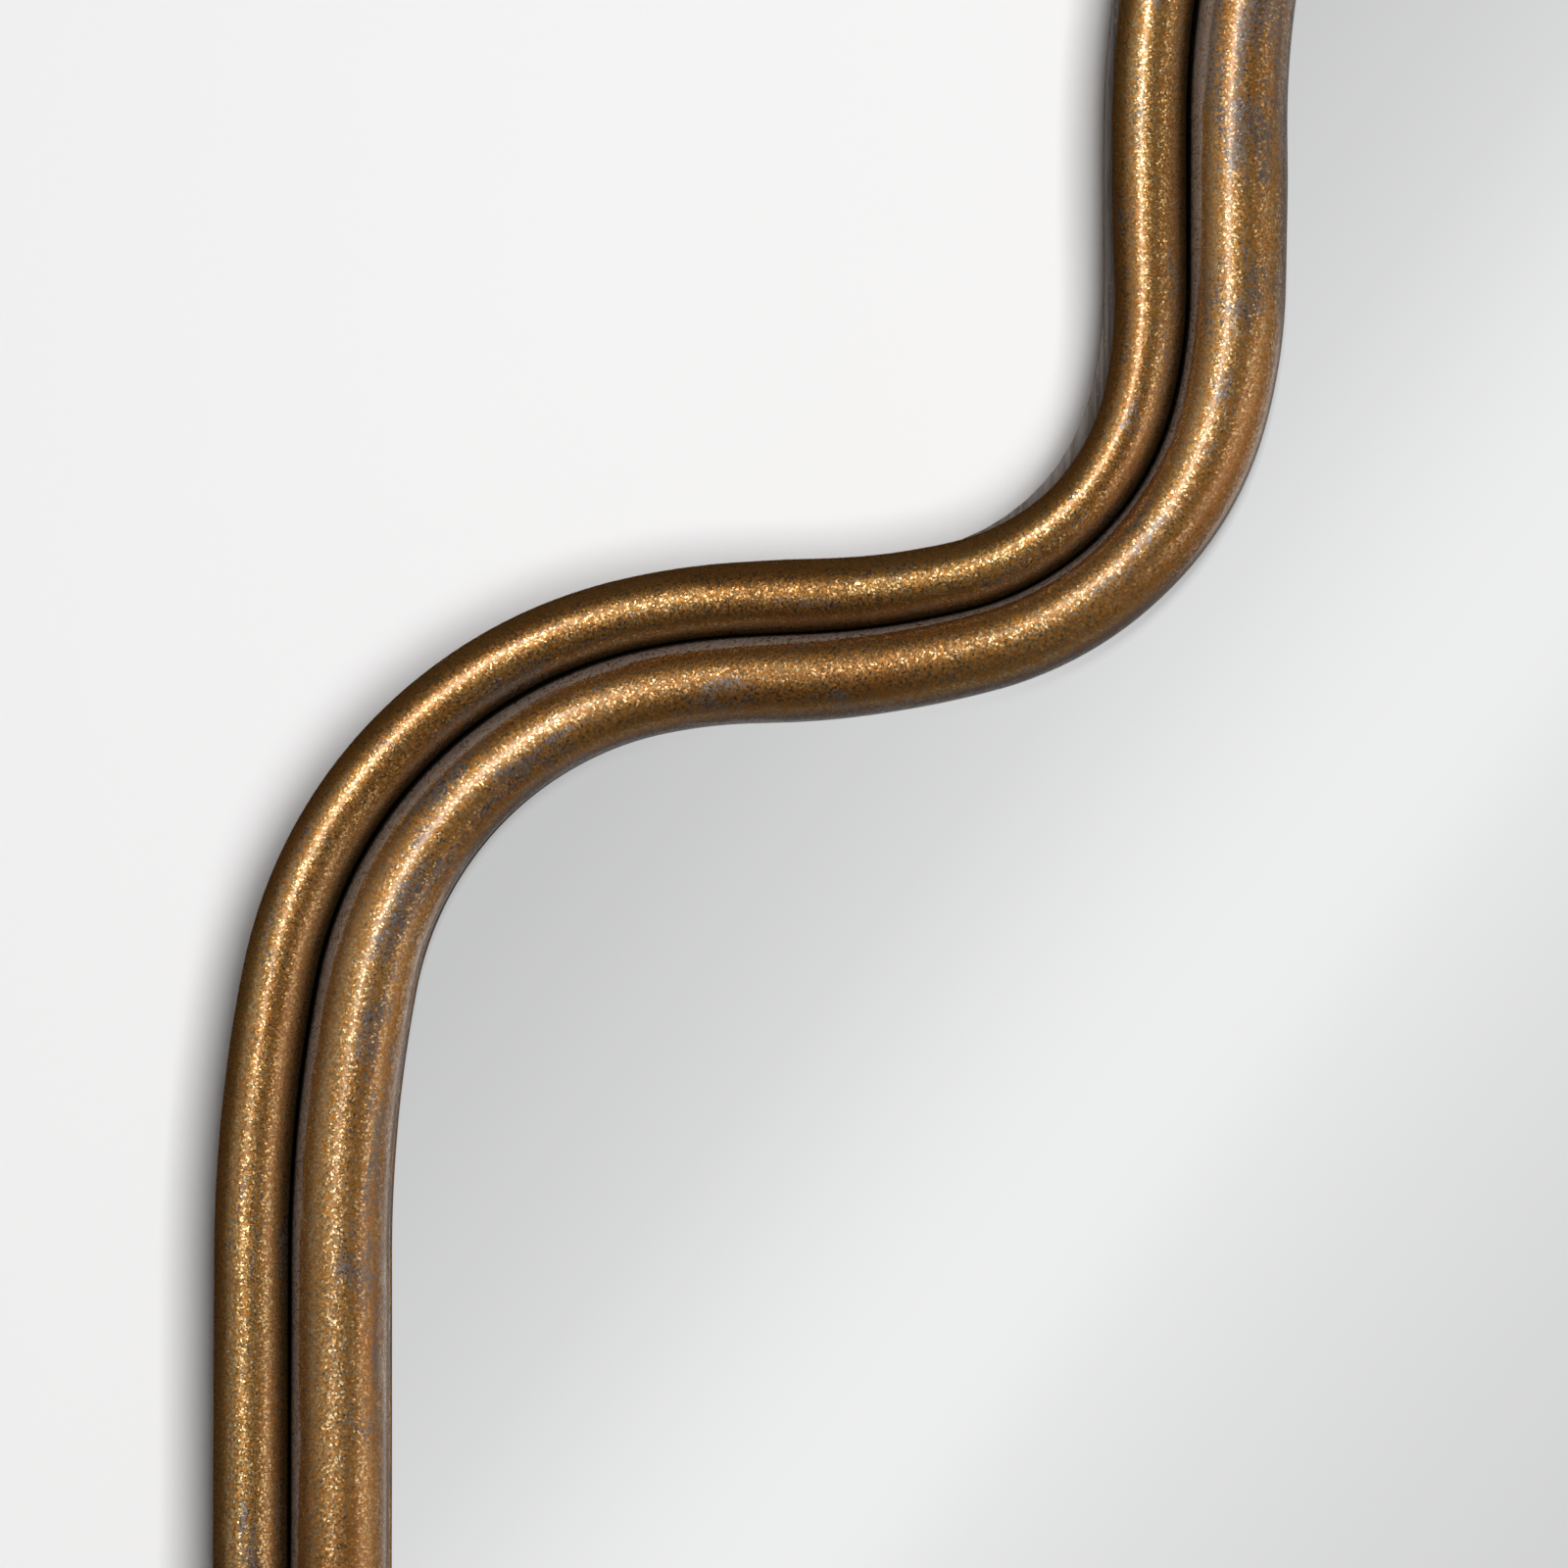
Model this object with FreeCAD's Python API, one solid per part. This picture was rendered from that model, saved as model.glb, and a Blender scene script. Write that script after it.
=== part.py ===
import FreeCAD, Part
import math
import os

# Scalloped wall mirror: two bent steel tubes side by side round a mirror glass.
# Millimetres. +Z is up, +X is to the right and the mirror faces -Y.
# The origin is the centre of the backing board's rear face.

V = FreeCAD.Vector
os.makedirs("parts", exist_ok=True)

# Overall size, over the outer tube
overall_width = 711.0
overall_height = 1016.0

# Tubes
outer_tube_dia = 16.0
inner_tube_dia = 19.0
tube_flat_count = 8            # flats round a tube, one of them its seat on the plate

# Route of the pair of tubes, along its middle line, from a side to the top.
# A bend has a radius, as a share of the overall width, and a turn in degrees.
# A lobe bulges, the notch is hollow, and straight runs take up what is left.
side_ease_share = 0.429
side_ease_turn = 11.0
side_lobe_share = 0.1206
saddle_ease_share = 0.1795
saddle_ease_turn = 10.0
saddle_share = 0.0164          # straight
saddle_rise = 2.4              # degrees that the saddle climbs towards the notch
notch_entry_share = 0.2473
notch_entry_turn = 11.6
notch_share = 0.0839
notch_exit_share = 0.15
notch_exit_turn = 14.3
neck_share = 0.045             # straight
top_entry_share = 0.2847
top_entry_turn = 13.7
top_lobe_share = 0.125
top_ease_share = 0.3516
top_ease_turn = 10.0

# Flat steel plate that the tubes are welded to
plate_thickness = 3.0
plate_inset = 2.5              # its edge, inside the outer tube's outline
neck_show = 3.6                # how far the plate's neck lies outside the tubes' neck

# Glass, its tape and the board
glass_thickness = 4.0
glass_cover = 2.9              # glass edge hidden under the inner tube
glass_gap = 0.5                # round the glass, inside the plate
tape_thickness = 1.0
tape_width = 25.0
tape_strips = 5
tape_pitch_share = 0.16        # of the overall width
inner_tape_drop = 120.0        # the strips between the necks end this far below the top's middle line
side_tape_rise = 85.0          # the first and last strips end this far above the sides' straight runs
board_thickness = 9.0
board_inset = 1.5              # board edge, inside the plate's edge

# Board screws, from behind through the board into tapped holes in the plate
screw_dia = 4.0
screw_head_dia = 8.0
screw_head_height = 2.4
screw_hole_clearance = 0.5
thread_clearance = 0.05
shank_flat_count = 8
head_flat_count = 12
screwed_steps = (2, 10)        # bends with a screw in their middle: the side lobe and the top lobe

# Hangers: a folded strap and a D ring of wire
hanger_inset = 103.0           # from the sides' middle line
hanger_rise = 98.0             # above the sides' straight runs
strap_width = 12.0
strap_sheet = 1.2
strap_length = 37.0
first_screw_drop = 20.0
second_screw_drop = 31.0
strap_hole_dia = 4.4
wire_dia = 3.0
wire_flat_count = 6
arch_steps = 12                # straight steps in the bends of the ring's wire
corner_steps = 3
pin_clearance = 0.06           # round the ring's straight bar, in the strap's fold
ring_side_gap = 0.5
ring_corner_radius = 2.6
ring_arm = 4.5                 # bar's centre line to the start of the arch
seat_gap = 0.3                 # ring to the board or strap, and a screw's tip to its hole's end

# Wood screws of the hangers
wood_screw_dia = 3.5
wood_screw_length = 9.0        # under the head
wood_head_dia = 7.0
wood_head_height = 1.8

# Rubber bumpers
bumper_dia = 20.0
bumper_taper = 2.0             # how much narrower the bumper is at the wall
bumper_flat_count = 16
bumper_height = 7.0
bumper_inset = 46.0            # from the sides' middle line
bumper_rise = 63.0             # above the sides' straight runs

# How far a cutting tool runs past what it cuts
overrun = 5.0

# Worked out from the sizes above
outer_r = outer_tube_dia / 2
inner_r = inner_tube_dia / 2
pair_width = outer_tube_dia + inner_tube_dia
outer_offset = pair_width / 2 - outer_r
inner_offset = inner_r - pair_width / 2
side_lobe_turn = 90 - saddle_rise - side_ease_turn - saddle_ease_turn
notch_turn = 90 - saddle_rise - notch_entry_turn - notch_exit_turn
top_lobe_turn = 90 - top_entry_turn - top_ease_turn

board_front = -board_thickness
plate_front = board_front - plate_thickness
glass_rear = board_front - tape_thickness
glass_front = glass_rear - glass_thickness
outer_centre_y = plate_front - outer_r
inner_centre_y = plate_front - inner_r

plate_edge = pair_width / 2 - plate_inset
board_edge = plate_edge - board_inset
glass_edge = inner_offset - inner_r + glass_cover
plate_opening = glass_edge + glass_gap

strap_thickness = 2 * strap_sheet
wood_in_board = wood_screw_length - strap_thickness
pin_r = wire_dia / 2
fold_bore_r = pin_r + pin_clearance
fold_r = fold_bore_r + strap_sheet
pin_y = fold_r
ring_half = strap_width / 2 + ring_side_gap + ring_corner_radius
ring_reach = ring_arm + ring_half
ring_lean = math.degrees(math.asin((pin_y - pin_r - seat_gap) / ring_reach))


def unit(angle):
    """direction in the mirror's plane, from +X towards +Z"""
    return V(math.cos(angle), 0, math.sin(angle))


def bends(saddle):
    """bends and runs of one quarter, from its side run to its top run; right turns are negative"""
    shares = [
        (side_ease_share, -side_ease_turn),
        (side_lobe_share, -side_lobe_turn),
        (saddle_ease_share, -saddle_ease_turn),
        (saddle, 0),
        (notch_entry_share, notch_entry_turn),
        (notch_share, notch_turn),
        (notch_exit_share, notch_exit_turn),
        (neck_share, 0),
        (top_entry_share, -top_entry_turn),
        (top_lobe_share, -top_lobe_turn),
        (top_ease_share, -top_ease_turn),
    ]
    return [(share * overall_width, turn) for share, turn in shares]


def follow(start, steps, offset):
    """edges along the steps, moved outwards by offset, and the end point of the middle line"""
    edges = []
    point = start
    heading = math.pi / 2
    for size, turn in steps:
        out = unit(heading + math.pi / 2)
        if turn == 0:
            end = point + unit(heading) * size
            edges.append(Part.LineSegment(point + out * offset, end + out * offset).toShape())
            point = end
            continue
        side = math.copysign(1, turn)
        centre = point + out * (size * side)
        swing = math.radians(turn)
        radius = size - side * offset
        arms = [unit(heading + math.pi / 2 + swing * share) * (-side) for share in (0, 0.5, 1)]
        edges.append(Part.Arc(*[centre + arm * radius for arm in arms]).toShape())
        point = centre + arms[2] * size
        heading += swing
    return edges, point


# The straight side and top runs take up what the bends leave of the overall size
reach = follow(V(0, 0, 0), bends(saddle_share), 0)[1]
side_x = pair_width / 2 - overall_width / 2
top_z = overall_height / 2 - pair_width / 2
side_run = top_z - reach.z
top_run = -side_x - reach.x

hanger_x = -side_x - hanger_inset
hanger_z = side_run + hanger_rise
bumper_x = -side_x - bumper_inset
bumper_z = side_run + bumper_rise
tape_pitch = tape_pitch_share * overall_width
side_tape_length = 2 * (side_run + side_tape_rise)
inner_tape_length = 2 * (top_z - inner_tape_drop)


def quarter(offset, shift=0):
    """edges of the upper left quarter; shift moves its notch and neck outwards, for the plate"""
    top = top_run + shift * math.cos(math.radians(saddle_rise))
    steps = [(side_run, 0)] + bends(saddle_share - shift / overall_width) + [(top, 0)]
    return follow(V(side_x, 0, 0), steps, offset)[0]


def flipped(edges, across):
    """mirror image of edges across a plane through the origin"""
    return [edge.mirror(V(0, 0, 0), across) for edge in edges]


def left_half(offset, shift=0):
    """edges of the left half of the route"""
    upper = quarter(offset, shift)
    return flipped(upper, V(0, 0, 1)) + upper


def joined(edges):
    return Part.Wire(Part.__sortEdges__(edges))


def sheet(offset, shift, front, thickness):
    """flat sheet with the route's outline at an offset, its front face at y = front"""
    left = left_half(offset, shift)
    face = Part.Face(joined(left + flipped(left, V(1, 0, 0))))
    face.translate(V(0, front, 0))
    return face.extrude(V(0, thickness, 0))


def outline(x, y, z, dia, flats):
    """many-sided outline facing +Y, its corners on the diameter"""
    turns = [2 * math.pi * (i + 0.5) / flats for i in range(flats)]
    corners = [V(x, y, z) + unit(turn) * (dia / 2) for turn in turns]
    return Part.makePolygon(corners + [corners[0]])


def rod(x, z, dia, flats, front, length):
    """many-sided bar along +Y from y = front"""
    return Part.Face(outline(x, front, z, dia, flats)).extrude(V(0, length, 0))


def bored(shape, places, dia, front, depth):
    """the shape with a hole along +Y at each place"""
    for x, z in places:
        shape = shape.cut(rod(x, z, dia, shank_flat_count, front, depth))
    return shape


def four(x, z):
    """a place and its mirror images, one in each quarter"""
    return [(sx * x, sz * z) for sx in (-1, 1) for sz in (-1, 1)]


def save(name, shape):
    shape.exportStep(os.path.join("parts", name + ".step"))
    print(name, shape.isValid(), len(shape.Solids), "solids, volume", round(shape.Volume))


# Tubes

def section(radius, flats, centre, along):
    """flats round a circle, square to a direction in the mirror's plane, one of them facing +Y"""
    across = along.cross(V(0, 1, 0))
    step = 2 * math.pi / flats
    turns = [step * (i + 0.5) for i in range(flats)]
    arms = [V(0, math.cos(turn), 0) + across * math.sin(turn) for turn in turns]
    corners = [centre + arm * (radius / math.cos(step / 2)) for arm in arms]
    return Part.Face(Part.makePolygon(corners + [corners[0]]))


def half_ring(offset, radius, centre_y):
    """left half of one tube ring, from bottom centre to top centre"""
    path = joined(left_half(offset))
    path.translate(V(0, centre_y, 0))
    return path.makePipe(section(radius, tube_flat_count, path.OrderedVertexes[0].Point, V(1, 0, 0)))


rings = (
    ("outer_tube", outer_offset, outer_r, outer_centre_y),
    ("inner_tube", inner_offset, inner_r, inner_centre_y),
)
for name, offset, radius, centre_y in rings:
    left_tube = half_ring(offset, radius, centre_y)
    save(name + "_left", left_tube)
    save(name + "_right", left_tube.mirror(V(0, 0, 0), V(1, 0, 0)))

# Plate, in an upper and a lower half, tapped for the board screws

route = quarter(0)
screw_places = []
for step in screwed_steps:
    bend = route[step]
    middle = bend.valueAt((bend.FirstParameter + bend.LastParameter) / 2)
    screw_places += four(middle.x, middle.z)
through = plate_thickness + 2 * overrun
plate = sheet(plate_edge, neck_show, plate_front, plate_thickness)
plate = plate.cut(sheet(plate_opening, 0, plate_front - overrun, through))
plate = bored(plate, screw_places, screw_dia + 2 * thread_clearance, plate_front - overrun, through)
upper_box = Part.makeBox(
    overall_width + 2 * overrun,
    through,
    overall_height / 2 + overrun,
    V(-overall_width / 2 - overrun, plate_front - overrun, 0),
)
save("frame_plate_upper", plate.common(upper_box))
save("frame_plate_lower", plate.common(upper_box.mirror(V(0, 0, 0), V(0, 0, 1))))

# Glass and its tape

save("mirror_glass", sheet(glass_edge, 0, glass_front, glass_thickness))
for i in range(tape_strips):
    middle = (i - (tape_strips - 1) / 2) * tape_pitch
    length = side_tape_length if i in (0, tape_strips - 1) else inner_tape_length
    corner = V(middle - tape_width / 2, glass_rear, -length / 2)
    save("mounting_tape_%d" % (i + 1), Part.makeBox(tape_width, tape_thickness, length, corner))

# Board, with holes for its own screws and the hangers' screws

wood_places = []
for side in (-1, 1):
    for drop in (first_screw_drop, second_screw_drop):
        wood_places.append((side * hanger_x, hanger_z - drop))
board = sheet(board_edge, neck_show, board_front, board_thickness)
board_through = board_thickness + 2 * overrun
board = bored(board, screw_places, screw_dia + screw_hole_clearance, board_front - overrun, board_through)
pilot_dia = wood_screw_dia + 2 * thread_clearance
board = bored(board, wood_places, pilot_dia, -wood_in_board - seat_gap, board_thickness)
save("backing_board", board)


def screw(x, z, dia, length, head_dia, head_height, rear):
    """screw driven from behind, its head's seat at y = rear"""
    shank = rod(x, z, dia, shank_flat_count, rear - length, length)
    return shank.fuse(rod(x, z, head_dia, head_flat_count, rear, head_height))


screw_length = board_thickness + plate_thickness
board_screws = [
    screw(x, z, screw_dia, screw_length, screw_head_dia, screw_head_height, 0) for x, z in screw_places
]
save("board_screws", Part.makeCompound(board_screws))

# Hangers

def across_bar(x, dia, length):
    """round bar along X, on the hinge line"""
    return Part.makeCylinder(dia / 2, length, V(x - length / 2, pin_y, hanger_z), V(1, 0, 0))


def strap(x):
    """steel strip folded over the ring's bar, both legs flat on the board"""
    leg = Part.makeBox(
        strap_width, strap_thickness, strap_length, V(x - strap_width / 2, 0, hanger_z - strap_length)
    )
    leg = leg.fuse(rod(x, hanger_z - strap_length, strap_width, head_flat_count, 0, strap_thickness))
    fold = across_bar(x, 2 * fold_r, strap_width)
    body = leg.fuse(fold).cut(across_bar(x, 2 * fold_bore_r, strap_width + 2 * overrun))
    places = [(x, hanger_z - first_screw_drop), (x, hanger_z - second_screw_drop)]
    return bored(body, places, strap_hole_dia, -overrun, strap_thickness + 2 * overrun)


def bend_points(centre, radius, first, last, steps):
    """points along a bend between two directions in degrees, from +X towards +Z"""
    turns = [math.radians(first + (last - first) * i / steps) for i in range(steps + 1)]
    return [centre + unit(turn) * radius for turn in turns]


def d_ring(x):
    """wire bent to a D in short steps, with a round straight bar, leaning back on the board"""
    base = V(x, pin_y, hanger_z)
    across = V(ring_half - ring_corner_radius, 0, 0)
    up = V(0, 0, ring_corner_radius)
    lead = V(ring_side_gap / 2, 0, 0)
    points = [base + across - lead]
    points += bend_points(base + across + up, ring_corner_radius, -90, 0, corner_steps)
    points += bend_points(base + V(0, 0, ring_arm), ring_half, 0, 180, arch_steps)
    points += bend_points(base - across + up, ring_corner_radius, 180, 270, corner_steps)
    points.append(base - across + lead)
    wire = section(pin_r, wire_flat_count, points[0], V(1, 0, 0)).OuterWire
    ring = Part.makePolygon(points).makePipeShell([wire], True, False, 1)
    ring = ring.fuse(across_bar(x, wire_dia, across.Length * 2))
    ring.rotate(base, V(1, 0, 0), ring_lean)
    return ring


for side, x in (("left", -hanger_x), ("right", hanger_x)):
    save("hanger_strap_" + side, strap(x))
    save("hanger_ring_" + side, d_ring(x))
hanger_screws = [
    screw(x, z, wood_screw_dia, wood_screw_length, wood_head_dia, wood_head_height, strap_thickness)
    for x, z in wood_places
]
save("hanger_screws", Part.makeCompound(hanger_screws))

# Bumpers, narrower at the wall

wall_dia = bumper_dia - bumper_taper
bumpers = []
for x, z in four(bumper_x, bumper_z):
    seat = outline(x, 0, z, bumper_dia, bumper_flat_count)
    tip = outline(x, bumper_height, z, wall_dia, bumper_flat_count)
    bumpers.append(Part.makeLoft([seat, tip], True, True))
save("bumpers", Part.makeCompound(bumpers))

# How far the rings can turn, from leaning on the board to lying over the strap

crossing = ring_arm + math.sqrt(ring_half ** 2 - (strap_width / 2) ** 2) - pin_r
ring_lift = math.degrees(math.asin((strap_thickness + pin_r + seat_gap - pin_y) / crossing))
print("side run", round(side_run, 2), "top run", round(top_run, 2))
print("hangers", round(hanger_x, 3), round(hanger_z, 3), "bumpers", round(bumper_x, 3), round(bumper_z, 3))
print("hinge line at y", round(pin_y, 3), "ring leans", round(ring_lean, 2))
print("ring turns", round(180 + ring_lean - ring_lift, 1))
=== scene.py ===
import math
from collections import namedtuple

import bmesh
import bpy
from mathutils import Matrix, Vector, noise

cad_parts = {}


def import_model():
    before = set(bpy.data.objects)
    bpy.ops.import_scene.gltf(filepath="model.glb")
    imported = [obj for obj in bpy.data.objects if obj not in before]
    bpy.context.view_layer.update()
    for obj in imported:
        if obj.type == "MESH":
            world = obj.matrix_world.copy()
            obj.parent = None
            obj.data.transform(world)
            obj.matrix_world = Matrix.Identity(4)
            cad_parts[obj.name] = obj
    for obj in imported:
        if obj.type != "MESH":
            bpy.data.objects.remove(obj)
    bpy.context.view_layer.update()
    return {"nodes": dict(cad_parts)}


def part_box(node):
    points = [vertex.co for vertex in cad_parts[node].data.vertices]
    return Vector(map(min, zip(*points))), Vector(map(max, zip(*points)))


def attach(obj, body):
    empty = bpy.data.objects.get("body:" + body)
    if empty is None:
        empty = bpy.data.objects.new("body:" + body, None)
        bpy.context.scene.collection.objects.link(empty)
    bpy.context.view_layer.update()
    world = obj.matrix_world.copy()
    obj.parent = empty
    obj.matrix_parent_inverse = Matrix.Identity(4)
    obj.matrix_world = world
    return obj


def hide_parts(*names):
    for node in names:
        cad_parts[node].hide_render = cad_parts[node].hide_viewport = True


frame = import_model()

# Metres. The route of the pair of tubes is the same as in the solids.
# A bend has a radius, as a share of the overall width, and a turn in degrees.
SIDE_EASE_SHARE = 0.429
SIDE_EASE_TURN = 11.0
SIDE_LOBE_SHARE = 0.1206
SADDLE_EASE_SHARE = 0.1795
SADDLE_EASE_TURN = 10.0
SADDLE_SHARE = 0.0164
SADDLE_RISE = 2.4
NOTCH_ENTRY_SHARE = 0.2473
NOTCH_ENTRY_TURN = 11.6
NOTCH_SHARE = 0.0839
NOTCH_EXIT_SHARE = 0.15
NOTCH_EXIT_TURN = 14.3
NECK_SHARE = 0.045
TOP_ENTRY_SHARE = 0.2847
TOP_ENTRY_TURN = 13.7
TOP_LOBE_SHARE = 0.125
TOP_EASE_SHARE = 0.3516
TOP_EASE_TURN = 10.0
SAMPLE_PITCH = 0.0025

# Sizes read from the solids
outer_low, outer_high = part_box("outer_tube_left")
inner_low, inner_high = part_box("inner_tube_left")
glass_low, glass_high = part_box("mirror_glass")
bumper_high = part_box("bumpers")[1]
OUTER_R = (outer_high[1] - outer_low[1]) / 2
INNER_R = (inner_high[1] - inner_low[1]) / 2
OUTER_Y = (outer_high[1] + outer_low[1]) / 2
INNER_Y = (inner_high[1] + inner_low[1]) / 2
PAIR = 2 * (OUTER_R + INNER_R)
OVERALL_WIDTH = 2 * abs(outer_low[0])
OVERALL_HEIGHT = outer_high[2] - outer_low[2]
SIDE_X = PAIR / 2 - OVERALL_WIDTH / 2
TOP_Z = OVERALL_HEIGHT / 2 - PAIR / 2
OUTER_OFFSET = PAIR / 2 - OUTER_R
INNER_OFFSET = INNER_R - PAIR / 2
GLASS_OFFSET = SIDE_X - glass_low[0]
WALL_GAP = 0.0001
WALL_Y = bumper_high[1] + WALL_GAP

SIDE_LOBE_TURN = 90 - SADDLE_RISE - SIDE_EASE_TURN - SADDLE_EASE_TURN
NOTCH_TURN = 90 - SADDLE_RISE - NOTCH_ENTRY_TURN - NOTCH_EXIT_TURN
TOP_LOBE_TURN = 90 - TOP_ENTRY_TURN - TOP_EASE_TURN
# A turn of 0 is a straight run. Turns below zero curl inwards, as a lobe does.
BENDS = [
    (SIDE_EASE_SHARE, -SIDE_EASE_TURN),
    (SIDE_LOBE_SHARE, -SIDE_LOBE_TURN),
    (SADDLE_EASE_SHARE, -SADDLE_EASE_TURN),
    (SADDLE_SHARE, 0),
    (NOTCH_ENTRY_SHARE, NOTCH_ENTRY_TURN),
    (NOTCH_SHARE, NOTCH_TURN),
    (NOTCH_EXIT_SHARE, NOTCH_EXIT_TURN),
    (NECK_SHARE, 0),
    (TOP_ENTRY_SHARE, -TOP_ENTRY_TURN),
    (TOP_LOBE_SHARE, -TOP_LOBE_TURN),
    (TOP_EASE_SHARE, -TOP_EASE_TURN),
]


def unit(angle):
    """direction in the mirror's plane, as (x, z)"""
    return Vector((math.cos(angle), math.sin(angle)))


def follow(point, steps):
    """samples along the steps, each a point and the direction out of the mirror, and the end point"""
    samples = []
    heading = math.pi / 2
    for size, turn in steps:
        swing = math.radians(turn)
        length = size if turn == 0 else size * abs(swing)
        count = max(1, round(length / SAMPLE_PITCH))
        side = math.copysign(1, turn)
        centre = point + unit(heading + math.pi / 2) * size * side
        for i in range(count):
            part = i / count
            out = unit(heading + math.pi / 2 + swing * part)
            here = point + unit(heading) * length * part if turn == 0 else centre - out * size * side
            samples.append((here, out))
        heading += swing
        out = unit(heading + math.pi / 2)
        point = point + unit(heading) * length if turn == 0 else centre - out * size * side
    return samples, point


def route():
    """samples of the left half of the middle line, from bottom centre to top centre"""
    bends = [(share * OVERALL_WIDTH, turn) for share, turn in BENDS]
    reach = follow(Vector((0, 0)), bends)[1]
    runs = [(TOP_Z - reach.y, 0)] + bends + [(-SIDE_X - reach.x, 0)]
    upper, end = follow(Vector((SIDE_X, 0)), runs)
    upper.append((end, Vector((0, 1))))
    lower = [(Vector((p.x, -p.y)), Vector((o.x, -o.y))) for p, o in reversed(upper[1:])]
    return lower + upper


ROUTE = route()


def loop(offset, y):
    """closed outline at an offset from the middle line, once round"""
    left = [p + o * offset for p, o in ROUTE]
    right = [Vector((-p.x, p.y)) for p in reversed(left[1:-1])]
    return [(p.x, y, p.y) for p in left + right]


def mesh_piece(name, verts, faces, material, smooth=True):
    """new mesh object with one material"""
    mesh = bpy.data.meshes.new(name)
    mesh.from_pydata(verts, [], faces)
    mesh.materials.append(material)
    mesh.polygons.foreach_set("use_smooth", [smooth] * len(mesh.polygons))
    piece = bpy.data.objects.new(name, mesh)
    bpy.context.scene.collection.objects.link(piece)
    return piece


def store_numbers(piece, name, numbers):
    """stores a number at each point of a piece, for its finish to read"""
    layer = piece.data.attributes.new(name, "FLOAT", "POINT")
    layer.data.foreach_set("value", numbers)


def store_vectors(piece, name, vectors):
    """stores a vector at each point of a piece, for its finish to read"""
    layer = piece.data.attributes.new(name, "FLOAT_VECTOR", "POINT")
    layer.data.foreach_set("vector", [number for vector in vectors for number in vector])


def keep(piece, body, slot, *nodes):
    """fixes a piece to its body and hides the solids it stands for; slot is not used"""
    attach(piece, body)
    if nodes:
        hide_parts(*nodes)
    return piece


class Graph:
    """short forms for wiring a node material"""

    def __init__(self, name):
        self.material = bpy.data.materials.new(name)
        self.material.use_nodes = True
        self.nodes = self.material.node_tree.nodes
        self.links = self.material.node_tree.links
        self.shader = self.nodes["Principled BSDF"]
        self.surface = self.nodes["Material Output"].inputs["Surface"]

    def put(self, socket, value):
        """links a node's output to a socket, or sets the socket to a plain value"""
        if hasattr(value, "is_output"):
            self.links.new(value, socket)
        else:
            socket.default_value = value

    def set(self, **values):
        """sets the surface shader's sockets; names use _ for a blank"""
        for name, value in values.items():
            self.put(self.shader.inputs[name.replace("_", " ")], value)

    def object_place(self):
        return self.nodes.new("ShaderNodeTexCoord").outputs["Object"]

    def object_normal(self, axis):
        normal = self.nodes.new("ShaderNodeTexCoord").outputs["Normal"]
        return self.split(normal)[axis]

    def geometry(self, name):
        return self.nodes.new("ShaderNodeNewGeometry").outputs[name]

    def light_path(self, name):
        return self.nodes.new("ShaderNodeLightPath").outputs[name]

    def stored_vector(self, name):
        node = self.nodes.new("ShaderNodeAttribute")
        node.attribute_name = name
        return node.outputs["Vector"]

    def stored_number(self, name):
        node = self.nodes.new("ShaderNodeAttribute")
        node.attribute_name = name
        return node.outputs["Fac"]

    def split(self, vector):
        node = self.nodes.new("ShaderNodeSeparateXYZ")
        self.put(node.inputs[0], vector)
        return node.outputs

    def stretch(self, vector, scale, shift=(0, 0, 0)):
        node = self.nodes.new("ShaderNodeMapping")
        self.put(node.inputs["Vector"], vector)
        node.inputs["Scale"].default_value = scale
        node.inputs["Location"].default_value = shift
        return node.outputs[0]

    def noise(self, vector, scale=1.0, detail=2.0, roughness=0.5, distortion=0.0):
        node = self.nodes.new("ShaderNodeTexNoise")
        self.put(node.inputs["Vector"], vector)
        node.inputs["Scale"].default_value = scale
        node.inputs["Detail"].default_value = detail
        node.inputs["Roughness"].default_value = roughness
        node.inputs["Distortion"].default_value = distortion
        return node.outputs[0]

    def cells(self, vector, scale):
        """random colour of the cell that a point lies in"""
        node = self.nodes.new("ShaderNodeTexVoronoi")
        self.put(node.inputs["Vector"], vector)
        node.inputs["Scale"].default_value = scale
        return node.outputs["Color"]

    def steps(self, value, low, high, start=0.0, end=1.0):
        """smooth step of a value between two levels"""
        node = self.nodes.new("ShaderNodeMapRange")
        node.interpolation_type = "SMOOTHSTEP"
        self.put(node.inputs["Value"], value)
        for name, level in (("From Min", low), ("From Max", high), ("To Min", start), ("To Max", end)):
            node.inputs[name].default_value = level
        return node.outputs["Result"]

    def math(self, operation, first, second=0.0):
        node = self.nodes.new("ShaderNodeMath")
        node.operation = operation
        self.put(node.inputs[0], first)
        self.put(node.inputs[1], second)
        return node.outputs[0]

    def add(self, first, second):
        return self.math("ADD", first, second)

    def less(self, first, second):
        return self.math("SUBTRACT", first, second)

    def times(self, first, second):
        return self.math("MULTIPLY", first, second)

    def vector_math(self, operation, *values):
        node = self.nodes.new("ShaderNodeVectorMath")
        node.operation = operation
        for socket, value in zip(node.inputs, values):
            self.put(socket, value)
        return node.outputs[0]

    def mix(self, share, first, second):
        """mix of two colours"""
        node = self.nodes.new("ShaderNodeMix")
        node.data_type = "RGBA"
        self.put(node.inputs["Factor"], share)
        self.put(node.inputs[6], first)
        self.put(node.inputs[7], second)
        return node.outputs[2]

    def bump(self, height, distance, strength=1.0, under=None):
        node = self.nodes.new("ShaderNodeBump")
        node.inputs["Distance"].default_value = distance
        node.inputs["Strength"].default_value = strength
        self.put(node.inputs["Height"], height)
        if under is not None:
            self.put(node.inputs["Normal"], under)
        return node.outputs[0]


def rgb(red, green, blue):
    return (red, green, blue, 1.0)


def grey(tone):
    return rgb(tone, tone, tone)


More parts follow.
